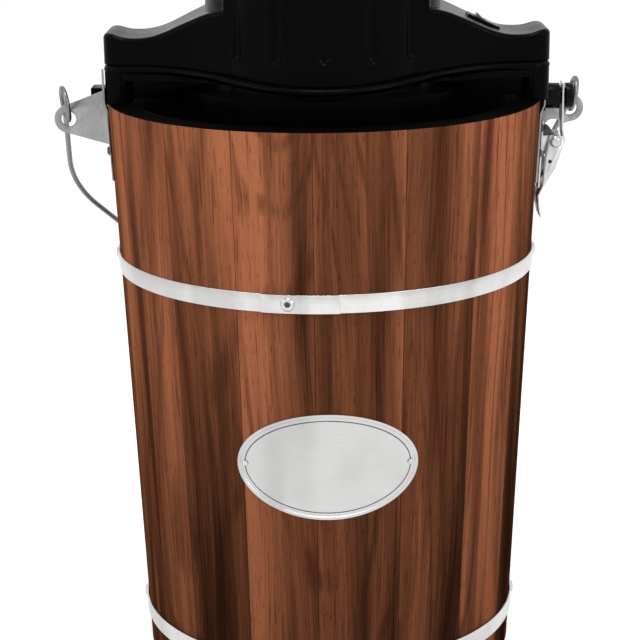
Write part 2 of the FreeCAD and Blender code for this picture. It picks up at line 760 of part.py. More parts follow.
hollow = new_sketch(shell, "XZ_Plane")
polygon(hollow, [(0, foot), (tr - 4, foot), (tr - 6, tt - 12), (tr - 15, tt - 5), (0, tt - 5)])
feature(shell, "Groove", hollow, Angle=360)
pad(shell, lambda s: arms(s, sw), foot, 392, "Pocket")
pad(shell, lambda s: disc(s, 0, 0, 7), tt - 13, tt - 4)
pad(shell, lambda s: disc(s, 0, 0, D["shaft_radius"] + 0.05), tt - 13, tt - 5, "Pocket")
seam(shell, 0.05, -1)

tilt = Rotation(V(0, 1, 0), DIMS["switch_tilt"])
switch_spot = V(DIMS["switch_x"], 0, DIMS["switch_z"])


def tilted(name, corner_low, corner_high):
    """A box in the switch's own tilted frame."""
    thing = block(name, corner_low, corner_high)
    thing.setExpression("Placement.Base.x", None)
    thing.setExpression("Placement.Base.y", None)
    thing.setExpression("Placement.Base.z", None)
    thing.Placement = Placement(switch_spot + tilt.multVec(V(*corner_low)), tilt)
    return thing


def flute(azimuth, low):
    """A ball-ended upright groove in the tower."""
    spot = front(azimuth, DIMS["tower_radius"] + 2.2, low)
    ball = doc.addObject("Part::Sphere", f"flute_ball_{azimuth:.0f}")
    bind(ball, "Radius", 4.6)
    ball.Placement = Placement(spot, Rotation())
    return [rod(f"flute_{azimuth:.0f}", 4.6, tt + 4 - low, Placement(spot, Rotation())), ball]


grooves = []
for step in range(16):
    over_arm = step % 8 in (3, 4, 5)
    grooves += flute(22.5 * step, 430 if over_arm else 388.6)
vents = []
for step in range(12):
    slot = block(f"vent_{step + 1}", (30, -1.5, tt - 9), (46, 1.5, tt + 6))
    for letter in "xyz":
        slot.setExpression(f"Placement.Base.{letter}", None)
    spin = Rotation(V(0, 0, 1), 30 * step)
    slot.Placement = Placement(spin.multVec(V(30, -1.5, tt.value - 9)), spin)
    vents.append(slot)

seat = tilted("switch_seat", (-9.6, -7.1, -14), (9.6, 7.1, 12))
land = tilted("switch_land", (-10.6, -8.1, 0), (10.6, 8.1, 12))
inlet_at = front(191.25, 66, 405)
inlet_hole = rod("inlet_hole", 5.05, 14, facing(radial(191.25), inlet_at))
node(less("head_shell_cut", shell, [seat, land, inlet_hole] + grooves + vents), "head_shell")

collar = tilted("bezel_collar", (-10.5, -8, 0), (10.5, 8, 2))
can_box = tilted("bezel_can", (-9.5, -7, -9), (9.5, 7, 0.5))
window = tilted("bezel_window", (-6.5, -4.6, -5), (6.5, 4.6, 6))
rocker_axis = switch_spot + tilt.multVec(V(0, 0, ROCKER_LIFT))
bezel_bore = rod("bezel_bore", 1.26, 11.4, Placement(rocker_axis - V(0, 5.7, 0), along_y))
node(less("switch_bezel", merged("bezel_solid", [collar, can_box]), [window, bezel_bore]), "switch_bezel")

rocker = new_body("rocker_body")
sided(rocker, [(-5.8, -1), (5.8, -1), (5.9, 2.6), (0, 1.4), (-5.9, 2.6)], 4.3)
rocker.Placement = Placement(rocker_axis, tilt.multiply(Rotation(V(0, 1, 0), 10)))
trunnion = rod("rocker_trunnion", 1.2, 11, Placement(rocker_axis - V(0, 5.5, 0), along_y))
node(merged("rocker", [rocker, trunnion]), "rocker")

inlet = turned("cord_inlet_body", [(3.2, 0), (5, 0), (5, 7.6), (8, 7.6), (7, 10.5), (3.2, 10.5)])
inlet.Placement = facing(radial(191.25), inlet_at)
node(inlet, "cord_inlet")

tongue = new_body("end_tongue_body")
tongue_end, rim_clear = D["post_inset"] - head_ends[-1], -1 * D["rim_radius"] - 0.9
sided(tongue, [(-143.1, 351.5), (rim_clear, 351.5), (rim_clear, lip_top + 0.3), (tongue_end, lip_top + 0.3),
               (tongue_end, 363.5), (-143.1, 363.5)], 7.8)
node(tongue, "end_tongue")

spool = turned("catch_spool_body", [(0, 0), (8, 0), (8, 9.1), (5, 9.1), (5, 12.7), (8, 12.7), (8, 16.9),
                                    (7, 17.9), (0, 17.9)])
spool.Placement = facing(V(1, 0, 0), V(spool_foot.value, 0, DIMS["catch_z"]))
node(spool, "catch_spool")

# Gear train and motor
shaft_hole = rod("plate_shaft_hole", D["shaft_radius"] + 0.05, 20, Placement(V(0, 0, 376), upward))
idler_hole = rod("plate_idler_hole", D["shaft_radius"] + 0.06, 20,
                 Placement(V(0, DIMS["gear_centre"], 376), upward))
screw_holes = []
screws = []
for x in (-48, 48):
    for y in (-30, 30):
        tag = f"{len(screws) + 1}"
        screw_holes.append(rod("screw_hole_" + tag, 2.1, 20, Placement(V(x, y, 376), upward)))
        screws.append(stud("screw_" + tag, 4, 2.4, 2, 17, Placement(V(x, y, 387.5), upward)))
plate_disc = rod("plate_disc", 63, 3.5, Placement(V(0, 0, 384), upward))
node(less("gear_plate", plate_disc, [shaft_hole, idler_hole] + screw_holes), "gear_plate")
node(group("head_screws", screws), "head_screws")

socket_rod = rod("socket_rod", 11, 9.4, Placement(V(0, 0, 374.6), upward))
socket_hole = block("socket_hole", (-half - 0.5, -half - 0.5, 370), (half + 0.5, half + 0.5, 390))
node(less("stem_socket", socket_rod, [socket_hole]), "stem_socket")


def gear(teeth, low, high, centre, turn):
    """A spur gear with involute flanks drawn as short chords."""
    module = DIMS["gear_module"]
    pitch = module * teeth / 2
    base_r = pitch * math.cos(PRESSURE)
    root, tip = pitch - 1.2 * module, pitch + 0.95 * module
    half_tooth = math.pi / (2 * teeth) - BACKLASH / (2 * pitch)

    def half_angle(r):
        inv_pitch = math.tan(PRESSURE) - PRESSURE
        if r <= base_r:
            return half_tooth + inv_pitch
        a = math.acos(base_r / r)
        return half_tooth + inv_pitch - (math.tan(a) - a)

    radii = [root] + [max(root + 0.05, base_r) + (tip - max(root + 0.05, base_r)) * k / 3 for k in range(4)]
    outline = []
    for tooth in range(teeth):
        middle = turn + 2 * math.pi * tooth / teeth
        flank = [(r, -half_angle(r)) for r in radii] + [(r, half_angle(r)) for r in radii[::-1]]
        outline += [V(centre.x + r * math.cos(middle + a), centre.y + r * math.sin(middle + a), low)
                    for r, a in flank]
    face = Part.Face(Part.makePolygon(outline + outline[:1]))
    return face.extrude(V(0, 0, high - low))


def toothed(name, *shapes):
    thing = doc.addObject("Part::Feature", name)
    solid = shapes[0]
    thing.Shape = solid if len(shapes) == 1 else solid.multiFuse(list(shapes[1:])).removeSplitter()
    return thing


origin = V()
idler_at = V(0, DIMS["gear_centre"], 0)
half_gap = math.pi / SMALL_TEETH
out_teeth = toothed("output_teeth", gear(BIG_TEETH, 366, 374, origin, math.pi / 2))
sleeve = rod("output_sleeve", 20, 16, Placement(V(0, 0, 350), upward))
pocket = hexagon("output_pocket", 17.4, 345, 360)
out_bore = rod("output_bore", 9.6, 40, Placement(V(0, 0, 340), upward))
node(less("output_gear", merged("output_solid", [out_teeth, sleeve]), [pocket, out_bore]), "output_gear")

idler_teeth = toothed("idler_teeth", gear(SMALL_TEETH, 366.3, 374, idler_at, -math.pi / 2 + half_gap),
                      gear(BIG_TEETH, 390, 396, idler_at, -math.pi / 2))
idler_shaft = rod("idler_shaft", D["shaft_radius"], 37.1, Placement(V(0, DIMS["gear_centre"], 359.2), upward))
node(merged("idler_gear", [idler_teeth, idler_shaft]), "idler_gear")

pinion = toothed("rotor_pinion", gear(SMALL_TEETH, 390, 396, origin, math.pi / 2 + half_gap))
spindle = rod("rotor_spindle", D["shaft_radius"], 71, Placement(V(0, 0, 384.4), upward))
node(merged("rotor_shaft", [pinion, spindle]), "rotor_shaft")
node(turned("rotor_core", [(D["shaft_radius"], 404), (20.7, 404), (20.7, 436), (D["shaft_radius"], 436)]),
     "rotor_core")

fan_hub = turned("fan_hub", [(D["shaft_radius"], 445.4), (30, 445.4), (30, 447), (D["shaft_radius"], 447)])
blades = []
for number in range(8):
    blade = block(f"fan_blade_{number + 1}", (12, -0.8, 446.5), (30, 0.8, 453))
    for letter in "xyz":
        blade.setExpression(f"Placement.Base.{letter}", None)
    spin = Rotation(V(0, 0, 1), 45 * number)
    blade.Placement = Placement(spin.multVec(V(12, -0.8, 446.5)), spin)
    blades.append(blade)
node(merged("motor_fan", [fan_hub] + blades), "motor_fan")

ring = turned("stator_ring", [(21.4, 402), (42, 402), (42, 438), (21.4, 438)])
legs = []
for number in range(4):
    a = math.radians(45 + 90 * number)
    spot = V(38.3 * math.cos(a), 38.3 * math.sin(a), 387.5)
    legs.append(rod(f"stator_leg_{number + 1}", 3.5, 15, Placement(spot, upward)))
node(merged("motor_stator", [ring] + legs), "motor_stator")
coils = [turned(f"coil_{k + 1}", [(24, z), (33, z), (33, z + 5), (24, z + 5)])
         for k, z in enumerate((396.9, 438.1))]
node(group("motor_windings", coils), "motor_windings")

# Checks and export
doc.recompute()
for thing in doc.Objects:
    if "Invalid" in thing.State or "Error" in thing.State:
        raise RuntimeError(f"{thing.Name}: {thing.State}")
os.makedirs("parts", exist_ok=True)
for thing in NODES:
    shape = thing.Shape
    if shape.isNull() or not shape.isValid():
        raise RuntimeError(f"{thing.Label}: bad shape")
    shape.exportStep(f"parts/{thing.Label}.step")
    box = shape.BoundBox
    print(f"{thing.Label} solids {len(shape.Solids)} volume {shape.Volume:.0f} "
          f"x {box.XMin:.1f} {box.XMax:.1f} y {box.YMin:.1f} {box.YMax:.1f} z {box.ZMin:.1f} {box.ZMax:.1f}")
print(len(NODES), "nodes")
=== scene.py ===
"""Dresses the wooden bucket ice cream maker and sets up its studio."""
import json
import math

import bmesh
import bpy
from bpy.props import FloatProperty, FloatVectorProperty, PointerProperty
from mathutils import Matrix, Vector


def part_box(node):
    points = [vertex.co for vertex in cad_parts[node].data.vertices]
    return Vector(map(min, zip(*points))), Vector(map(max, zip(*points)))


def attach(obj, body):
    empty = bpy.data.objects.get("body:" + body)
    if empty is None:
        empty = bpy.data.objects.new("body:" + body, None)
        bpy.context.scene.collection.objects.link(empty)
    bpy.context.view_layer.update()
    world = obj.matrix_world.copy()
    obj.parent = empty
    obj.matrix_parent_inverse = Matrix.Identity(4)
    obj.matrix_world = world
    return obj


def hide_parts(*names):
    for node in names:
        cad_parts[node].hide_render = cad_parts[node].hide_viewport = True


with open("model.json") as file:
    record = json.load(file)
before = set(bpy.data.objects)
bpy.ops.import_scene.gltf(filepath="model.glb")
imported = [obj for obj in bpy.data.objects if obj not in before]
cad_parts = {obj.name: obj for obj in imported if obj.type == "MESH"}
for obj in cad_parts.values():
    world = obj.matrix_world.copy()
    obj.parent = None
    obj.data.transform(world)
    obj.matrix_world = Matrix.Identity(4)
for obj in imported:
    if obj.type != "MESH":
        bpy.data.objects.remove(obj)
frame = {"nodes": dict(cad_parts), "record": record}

bl_info = {
    "name": "Wooden bucket ice cream maker",
    "version": (1, 0, 0),
    "blender": (4, 5, 0),
    "location": "View3D > Sidebar > Maker",
    "description": "Builds the dressed ice cream maker over its packed frame",
    "category": "Object",
}

NODES = frame["nodes"]
BEHAVIOUR = frame["record"]["behaviour"]
BODY_OF = {node: body for body, members in BEHAVIOUR["bodies"].items() for node in members}
SLOT_OF = {part["node"]: part["material_slot"] for part in frame["record"]["subparts"]}
STAVES = sorted(name for name in NODES if name.startswith("stave_"))
FULL_TURN = 2 * math.pi
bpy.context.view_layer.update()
FINISHES = {}

# Sizes read from the frame
RIM_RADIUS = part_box("bucket_liner")[1].x
STAVE_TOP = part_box(STAVES[0])[1].z
BASE_RADIUS = max(v.co.xy.length for v in NODES[STAVES[0]].data.vertices if v.co.z < 0.001)

# Closeness of points that are one point, and of points on the same face
MERGE = 1e-6
NEAR = 1e-4
# Faces that turn by less than this are one flat face
FLAT = math.radians(0.6)

# Lightness of each stave at its foot and at its top: partly how light the stave's own wood is, partly
# painted light and shade, mostly lighter towards the top where light falls from above
STAVE_TONES_AND_SHADE = ((-0.55, 0.6), (0.25, 0.3), (0.0, -0.2), (-0.15, 0.05), (-0.1, 0.7), (-0.6, 0.3),
               (-0.2, 0.2), (0.2, -0.1), (0.0, 0.4), (0.3, -0.1), (-0.15, 0.3), (0.15, -0.2),
               (0.25, 0.1), (-0.05, 0.4), (-0.3, 0.1), (-0.4, 0.3), (-0.5, 0.45))
# Steps of the grain's map from one stave to the next
GRAIN_ACROSS = 0.37
GRAIN_EXTRA = 0.11
GRAIN_WRAP = 0.3
GRAIN_ALONG = 0.83

# Oval plate: thickness of its skirt, stand from the wood, step inside the rim, engraved groove
PLATE_SKIRT = 0.0009
PLATE_STAND = 0.00105
RIM_STEP = (0.0003, -0.00035)
GROOVE_SIDE = 0.0002
GROOVE_WIDTH = 0.0005

# Hoop rivets, the grip on the bail and the small rounding of turned and moulded pieces
RIVET_HEAD = 0.0018
RIVET_STEPS = 28
GRIP_HALF = 0.048
SMALL_ROUND = 0.0004

# Pieces of stacked sheet
LAMINATED = ("motor_stator", "rotor_core")

# Studio: half the floor, its own glow, the height the lamps point at, each lamp's size and place
FLOOR_HALF = 14
FLOOR_GLOW = 0.62
LAMP_AIM = 0.25
LAMPS = (("key", 0.9, (1.3, -1.2, 1.15)),
         ("fill", 1.0, (-1.5, -0.9, 1.0)),
         ("top", 0.45, (0.0, -0.3, 1.7)))


def outside(z):
    """Radius of the bucket's outer face at a height."""
    return BASE_RADIUS + (RIM_RADIUS - BASE_RADIUS) * z / STAVE_TOP


def length(label, note, value):
    return FloatProperty(name=label, description=note, default=value, min=0.0, max=2.0, precision=5,
                         unit="LENGTH")


def amount(label, note, value):
    return FloatProperty(name=label, description=note, default=value, min=0.0, max=1.0,
                         subtype="FACTOR")


def power(label, note, value):
    return FloatProperty(name=label, description=note, default=value, unit="POWER")


def angle(label, note, degrees):
    return FloatProperty(name=label, description=note, default=math.radians(degrees), unit="ROTATION")


def colour(label, note, value):
    return FloatVectorProperty(name=label, description=note, default=value, min=0, max=1, size=3,
                               subtype="COLOR")


class MakerBucket(bpy.types.PropertyGroup):
    """Sizes and colours of the bucket and its metalwork."""
    wall: length("Wall", "Thickness of a stave", 0.013)
    seam_round: length("Seam rounding", "Rounding along each stave's long edges", 0.0006)
    hoop_round: length("Hoop rounding", "Rounding of the hoops' edges", 0.0003)
    metal_round: length("Metal rounding", "Rounding of cut sheet edges", 0.00028)
    plate_rim: length("Plate rim", "Width of the raised rim round the plate", 0.0016)
    plate_border: length("Plate border", "Distance of the engraved line from the plate's edge", 0.0034)
    wood_light: colour("Light wood", "Stained wood between the growth rings", (0.385, 0.131, 0.061))
    wood_mid: colour("Middle wood", "Stained wood overall", (0.128, 0.044, 0.0205))
    wood_dark: colour("Dark wood", "Stain gathered in streaks and knots", (0.028, 0.0102, 0.0051))
    zinc: colour("Zinc", "Sheet metal of brackets and latch", (0.60, 0.60, 0.60))
    hoop_metal: colour("Hoop metal", "Bands round the bucket", (0.64, 0.635, 0.63))
    plate_metal: colour("Plate metal", "Oval plate", (0.51, 0.51, 0.506))
    wire: colour("Wire", "Drawn wire of the bail", (0.20, 0.20, 0.20))
    # Dark metal also stands for painted shade on the bracket rivets
    dark_metal: colour("Dark metal", "Blackened rivets and barrel", (0.07, 0.07, 0.07))


class MakerHead(bpy.types.PropertyGroup):
    """Sizes and colours of the motor head and what turns under it."""
    shell_round: length("Shell rounding", "Rounding of the moulded edges", 0.0006)
    black: colour("Black", "Moulded black plastic", (0.0009, 0.0009, 0.001))
    black_roughness: amount("Black roughness", "How satin the black plastic is", 0.26)
    red: colour("Red", "Rocker of the switch", (0.17, 0.05, 0.055))
    can_metal: colour("Can metal", "Spun can and lid", (0.72, 0.72, 0.73))
    nylon: colour("Nylon", "Gears and hub", (0.62, 0.60, 0.55))
    copper: colour("Copper", "Enamelled windings", (0.50, 0.19, 0.07))


class MakerStudio(bpy.types.PropertyGroup):
    """Camera, light and floor."""
    distance: length("Distance", "Camera in front of the bucket's axis", 1.116)
    height: length("Height", "Camera above the floor", 0.5318)
    focal: FloatProperty(name="Focal length", description="Lens on a 36 mm sensor", default=102.05,
                         unit="CAMERA")
    pitch: angle("Pitch", "How far the camera looks down", 15.99)
    yaw: angle("Yaw", "How far the camera turns to the left", 0.21)
    roll: angle("Roll", "How far the camera leans", -0.63)
    key: power("Key light", "Lamp on the right", 11.0)
    fill: power("Fill light", "Lamp on the left", 8.0)
    top: power("Top light", "Lamp overhead", 9.0)
    ambient: amount("Ambient", "Plain light from all round", 0.45)
    floor: colour("Floor", "Pale floor", (0.86, 0.86, 0.86))


# Materials
class Finish:
    """A material under construction, with short calls for the nodes it uses."""

    def __init__(self, name):
        self.material = bpy.data.materials.new(name)
        self.material.use_nodes = True
        self.tree = self.material.node_tree
        self.tree.nodes.clear()
        self.shader = self.add("BsdfPrincipled")
        self.end = self.add("OutputMaterial", {"Surface": self.shader.outputs[0]})
        FINISHES[name] = self.material

    def add(self, kind, values=None, **settings):
        node = self.tree.nodes.new("ShaderNode" + kind)
        for key, value in settings.items():
            setattr(node, key, value)
        for key, value in (values or {}).items():
            self.put(node.inputs[key], value)
        return node

    def put(self, socket, value):
        if isinstance(value, bpy.types.NodeSocket):
            self.tree.links.new(socket, value)
        elif socket.type == "RGBA" and len(value) == 3:
            socket.default_value = (*value, 1.0)
        else:
            socket.default_value = value

    def set(self, **values):
        """Sets the shader's own sockets, spaces in their names written as underscores."""
        for key, value in values.items():
            self.put(self.shader.inputs[key.replace("_", " ")], value)

    def place(self, scale, source="Object"):
        """Object or UV coordinates, stretched."""
        if source == "Object":
            start = self.add("TexCoord").outputs["Object"]
        else:
            start = self.add("UVMap", uv_map=source).outputs["UV"]
        return self.add("Mapping", {"Vector": start, "Scale": scale}).outputs[0]

    def noise(self, where, detail, rough=0.55, warp=0.0):
        values = {"Vector": where, "Scale": 1.0, "Detail": detail, "Roughness": rough, "Distortion": warp}
        return self.add("TexNoise", values).outputs[0]

    def cells(self, where, output="Distance"):
        return self.add("TexVoronoi", {"Vector": where, "Scale": 1.0}).outputs[output]

    def bands(self, scale, warp=0.0):
        """Level bands stacked along Z."""
        values = {"Vector": self.place((1, 1, 1)), "Scale": scale, "Distortion": warp}
        return self.add("TexWave", values, bands_direction="Z").outputs["Fac"]

    def math(self, operation, a, b=0.0):
        return self.add("Math", {0: a, 1: b}, operation=operation).outputs[0]

    def plus(self, a, b):
        return self.math("ADD", a, b)

    def times(self, a, b):
        return self.math("MULTIPLY", a, b)

    def span(self, value, low, high, to_low=0.0, to_high=1.0):
        """Stretches a value's range, clamped."""
        values = {"Value": value, "From Min": low, "From Max": high, "To Min": to_low, "To Max": to_high}
        return self.add("MapRange", values).outputs[0]

    def mix(self, factor, a, b):
        node = self.add("Mix", data_type="RGBA")
        for index, value in ((0, factor), (6, a), (7, b)):
            self.put(node.inputs[index], value)
        return node.outputs[2]

    def ramp(self, factor, stops):
        node = self.add("ValToRGB", {"Fac": factor})
        points = node.color_ramp.elements
        while len(points) < len(stops):
            points.new(0.5)
        for point, (spot, tint) in zip(points, stops):
            point.position = spot
            point.color = (*tint, 1.0)
        return node.outputs[0]

    def bump(self, height, distance, strength):
        node = self.add("Bump", {"Height": height, "Distance": distance, "Strength": strength})
        self.put(self.shader.inputs["Normal"], node.outputs[0])


def shade(tint, factor):
    """A colour made darker or lighter."""
    return tuple(min(1.0, c * factor) for c in tint)


def stained_wood(name, light, mid, dark):
    """Stained wood whose grain runs along V of the piece's own UV map."""
    look = Finish(name)
    # How light each stave's own wood is, with painted light and shade on top of it
    tone = look.add("Attribute", attribute_name="tone").outputs["Fac"]
    sway = look.noise(look.place((9, 2.6, 1), "grain"), detail=1.5, rough=0.4)
    flow = look.add("CombineXYZ", {"X": look.times(sway, 0.034)}).outputs[0]
    straight = look.place((1, 1, 1), "grain")
    bent = look.add("VectorMath", {0: straight, 1: flow}, operation="ADD").outputs[0]

    def drawn(across, along, **settings):
        where = look.add("Mapping", {"Vector": bent, "Scale": (across, along, 1)}).outputs[0]
        return look.noise(where, **settings)

    broad = drawn(30, 1.7, detail=2.0, rough=0.5)
    lines = drawn(170, 2.6, detail=4.0, rough=0.6, warp=0.3)
    fibre = drawn(900, 13, detail=3.0, rough=0.65)
    pores = drawn(1250, 110, detail=1.5, rough=0.5)
    value = look.times(broad, 1.75)
    for share, weight in ((lines, 0.50), (fibre, 0.48), (tone, 0.36)):
        value = look.plus(value, look.times(share, weight))
    stops = [(0.0, dark), (0.36, mid), (0.62, shade(mid, 1.6)), (1.0, light)]
    tint = look.ramp(look.span(value, 1.01, 1.66), stops)
    rings = look.math("SINE", look.times(drawn(11, 2.2, detail=1.0, rough=0.35), 85))
    arches = look.times(look.span(rings, 0.55, 1.0), look.span(lines, 0.42, 0.58))
    streaks = look.span(drawn(66, 2.4, detail=3.0, rough=0.5, warp=0.4), 0.53, 0.68)
    hairs = look.span(drawn(560, 20, detail=2.0, rough=0.5), 0.60, 0.68)
    centres = look.cells(look.place((9.0, 3.6, 1), "grain"))
    knots = look.span(look.plus(centres, look.times(fibre, 0.03)), 0.035, 0.085, 1.0, 0.0)
    pitted = look.span(pores, 0.30, 0.38, 1.0, 0.0)
    stains = ((arches, 0.5, dark), (streaks, 0.72, dark), (hairs, 0.45, dark),
              (knots, 0.85, shade(dark, 0.5)), (pitted, 0.5, shade(dark, 0.8)))
    for mask, depth, stain in stains:
        tint = look.mix(look.times(mask, depth), tint, stain)
    look.set(Base_Color=tint, Roughness=look.span(fibre, 0.3, 0.7, 0.46, 0.62), Specular_IOR_Level=0.0)
    look.bump(look.math("SUBTRACT", fibre, look.times(pitted, 0.5)), 0.00012, 0.5)


def drawn_metal(name, tint, roughness, stretch, wear=0.25, painted_reflection=0.0):
    """Rolled or spun metal with fine lines, a few dull patches and soft upright bands of painted
    reflection.
    """
    look = Finish(name)
    lines = look.noise(look.place(stretch), detail=4.0, rough=0.7)
    patch = look.noise(look.place((38, 38, 38)), detail=3.0, rough=0.6)
    dull = look.span(patch, 0.45, 0.75)
    face = look.mix(look.times(dull, wear), tint, shade(tint, 0.55))
    face = look.mix(look.span(lines, 0.25, 0.75, 0.0, 0.22), face, shade(tint, 0.62))
    # Painted reflection: broad upright bands darken the face, standing in for dark reflections of the
    # room; the last argument sets how dark
    band = look.noise(look.place((24, 24, 3)), detail=2.0, rough=0.6)
    face = look.mix(look.span(band, 0.42, 0.58, painted_reflection, 0.0), face, shade(tint, 0.5))
    rough = look.span(lines, 0.3, 0.7, roughness - 0.06, roughness + 0.08)
    rough = look.plus(rough, look.times(dull, 0.1))
    look.set(Base_Color=face, Roughness=rough, Metallic=1.0)
    look.bump(lines, 0.00002, 0.35)


def zinc_sheet(name, tint):
    """Zinc-plated sheet with a faint spangle and dull handling marks."""
    look = Finish(name)
    flakes = look.cells(look.place((230, 230, 230)), output="Color")
    grey = look.add("RGBToBW", {"Color": flakes}).outputs[0]
    smear = look.noise(look.place((70, 70, 26)), detail=4.0, rough=0.65)
    face = look.mix(look.span(grey, 0.1, 0.9, 0.0, 0.30), tint, shade(tint, 0.62))
    face = look.mix(look.span(smear, 0.45, 0.75, 0.0, 0.5), face, shade(tint, 0.45))
    look.set(Base_Color=face, Roughness=look.span(smear, 0.3, 0.7, 0.28, 0.46), Metallic=1.0)
    look.bump(smear, 0.00005, 0.3)


def moulded(name, tint, roughness, specular):
    """Moulded plastic with a fine spark-eroded grain and faint rubbed marks."""
    look = Finish(name)
    fine = look.noise(look.place((1800, 1800, 1800)), detail=2.0)
    rubbed = look.noise(look.place((55, 55, 22)), detail=5.0, rough=0.7)
    face = look.mix(look.span(rubbed, 0.4, 0.8), tint, shade(tint, 1.7))
    look.set(Base_Color=face, Roughness=look.span(rubbed, 0.3, 0.75, roughness - 0.05, roughness + 0.08))
    look.set(Specular_IOR_Level=specular)
    look.bump(fine, 0.00003, 0.35)


def wound_wire(name, tint):
    """Enamelled wire laid in turns."""
    look = Finish(name)
    turns = look.bands(400.0, 0.6)
    look.set(Base_Color=look.mix(turns, shade(tint, 0.35), tint), Roughness=0.3, Metallic=0.9)
    look.bump(turns, 0.0003, 0.6)


def stacked_steel(name, tint):
    """Laminated steel, thin sheets stacked along Z."""
    look = Finish(name)
    sheets = look.bands(300.0)
    look.set(Base_Color=look.mix(sheets, shade(tint, 0.4), tint), Metallic=0.8)
    look.set(Roughness=look.span(sheets, 0, 1, 0.55, 0.4))
    look.bump(sheets, 0.0002, 0.5)


def make_finishes():
    """All finishes, under their record slots' names or names of their own."""
    bucket = bpy.context.scene.maker_bucket
    head = bpy.context.scene.maker_head
    light, mid, dark = tuple(bucket.wood_light), tuple(bucket.wood_mid), tuple(bucket.wood_dark)
    stained_wood("stave_wood", light, mid, dark)
    stained_wood("grip_wood", shade(light, 1.15), shade(light, 0.75), shade(mid, 0.7))
    # Hoop and plate steel carry painted reflection bands, set by the last argument
    drawn_metal("hoop_steel", tuple(bucket.hoop_metal), 0.25, (22, 22, 2600), 0.3, 0.5)
    zinc_sheet("galvanised", tuple(bucket.zinc))
    # A darker copy of the zinc sheet: painted shade for the brackets, which sit in shade against the
    # bucket
    zinc_sheet("dull_zinc", shade(bucket.zinc, 0.52))
    drawn_metal("steel", (0.56, 0.56, 0.56), 0.3, (400, 400, 400))
    drawn_metal("plate_steel", tuple(bucket.plate_metal), 0.32, (45, 45, 3200), 0.12, 0.35)
    drawn_metal("wire_steel", tuple(bucket.wire), 0.33, (260, 260, 260), 0.3)
    drawn_metal("dark_steel", tuple(bucket.dark_metal), 0.42, (500, 500, 500))
    drawn_metal("engraved", (0.10, 0.105, 0.11), 0.5, (500, 500, 500))
    # The liner's black is darker than the shell's: painted shade on the rim under the head
    moulded("black_liner", shade(head.black, 0.8), 0.5, 0.01)
    moulded("black_shell", tuple(head.black), head.black_roughness, 0.034)
    moulded("black_gloss", tuple(head.black), 0.26, 0.08)
    moulded("red_plastic", tuple(head.red), 0.25, 0.5)
    drawn_metal("can_aluminium", tuple(head.can_metal), 0.36, (30, 30, 1800), 0.2)
    moulded("white_plastic", (0.72, 0.71, 0.68), 0.35, 0.5)
    moulded("nylon", tuple(head.nylon), 0.45, 0.4)
    wound_wire("copper", tuple(head.copper))
    stacked_steel("laminated", (0.16, 0.16, 0.17))


# Meshes
def finished(bm, name, body, slot, node):
    """Makes a bmesh a piece that rides on a body and stands for a node."""
    mesh = bpy.data.meshes.new(name)
    bm.to_mesh(mesh)
    bm.free()
    mesh.shade_smooth()
    mesh.materials.append(FINISHES[slot])
    piece = bpy.data.objects.new(name, mesh)
    bpy.context.scene.collection.objects.link(piece)
    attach(piece, body)
    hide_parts(node)
    return piece


def soften(piece, width, segments, limit):
    """Rounds a piece's sharp edges."""
    bevel = piece.modifiers.new("edges", "BEVEL")
    bevel.width = width
    bevel.segments = segments
    bevel.limit_method = "ANGLE"
    bevel.angle_limit = math.radians(limit)
    bevel.use_clamp_overlap = False
    bevel.harden_normals = True


def weighted(piece):
    """Lets the large faces lead the shading."""
    normals = piece.modifiers.new("normals", "WEIGHTED_NORMAL")
    normals.keep_sharp = True


def dressed(node, width, segments=2, limit=32):
    """A merged copy of a node with rounded edges, or with crisp ones where the width is nought."""
    bm = bmesh.new()
    bm.from_mesh(NODES[node].data)
    bmesh.ops.remove_doubles(bm, verts=bm.verts, dist=MERGE)
    bmesh.ops.dissolve_limit(bm, angle_limit=FLAT, verts=bm.verts, edges=bm.edges)
    piece = finished(bm, node + "_dressed", BODY_OF[node], SLOT_OF[node], node)
    if width:
        soften(piece, width, segments, limit)
    else:
        piece.data.set_sharp_from_angle(angle=math.radians(limit))
    return piece


def rounded(bm, edges, width):
    """Rounds chosen edges of a bmesh."""
    bmesh.ops.bevel(bm, geom=edges, offset=width, offset_type="OFFSET", affect="EDGES", segments=3,
                    profile=0.5, material=-1)


def turned(bm, profile, steps, start=0.0, sweep=FULL_TURN):
    """Spins an outline of radius and height about Z."""
    whole = abs(sweep - FULL_TURN) < 1e-9
    spin = Matrix.Rotation(start, 4, "Z")
    verts = [bm.verts.new(spin @ Vector((r, 0, z))) for r, z in profile]
    geom = verts + [bm.edges.new(pair) for pair in zip(verts, verts[1:] + verts[:1])]
    if not whole:
        geom.append(bm.faces.new(verts))
    bmesh.ops.spin(bm, geom=geom, cent=(0, 0, 0), axis=(0, 0, 1), dvec=(0, 0, 0), angle=sweep,
                   steps=steps, use_merge=whole, use_duplicate=False)
    bmesh.ops.remove_doubles(bm, verts=bm.verts, dist=MERGE)
    bmesh.ops.recalc_face_normals(bm, faces=bm.faces)


def span_of(node):
    """First and last angle of a node round Z."""
    low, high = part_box(node)
    centre = (low + high) / 2
    middle = math.atan2(centre.y, centre.x)
    spots = [v.co for v in NODES[node].data.vertices]
    turns = [math.remainder(math.atan2(p.y, p.x) - middle, FULL_TURN) for p in spots]
    return middle + min(turns), middle + max(turns)


def grain_map(bm, across, along, shift):
    """Writes the grain's UV map, in metres."""
    layer = bm.loops.layers.uv.new("grain")
    for face in bm.faces:
        for loop in face.loops:
            spot = loop.vert.co
            loop[layer].uv = (across(spot) + shift[0], along(spot) + shift[1])


def write_tone_and_shade(bm, foot, top):
    """Writes how light the wood is, from the foot of a stave to its top: the wood's own lightness
    together with painted light and shade.
    """
    layer = bm.verts.layers.float.new("tone")
    for vert in bm.verts:
        vert[layer] = foot + (top - foot) * vert.co.z / STAVE_TOP


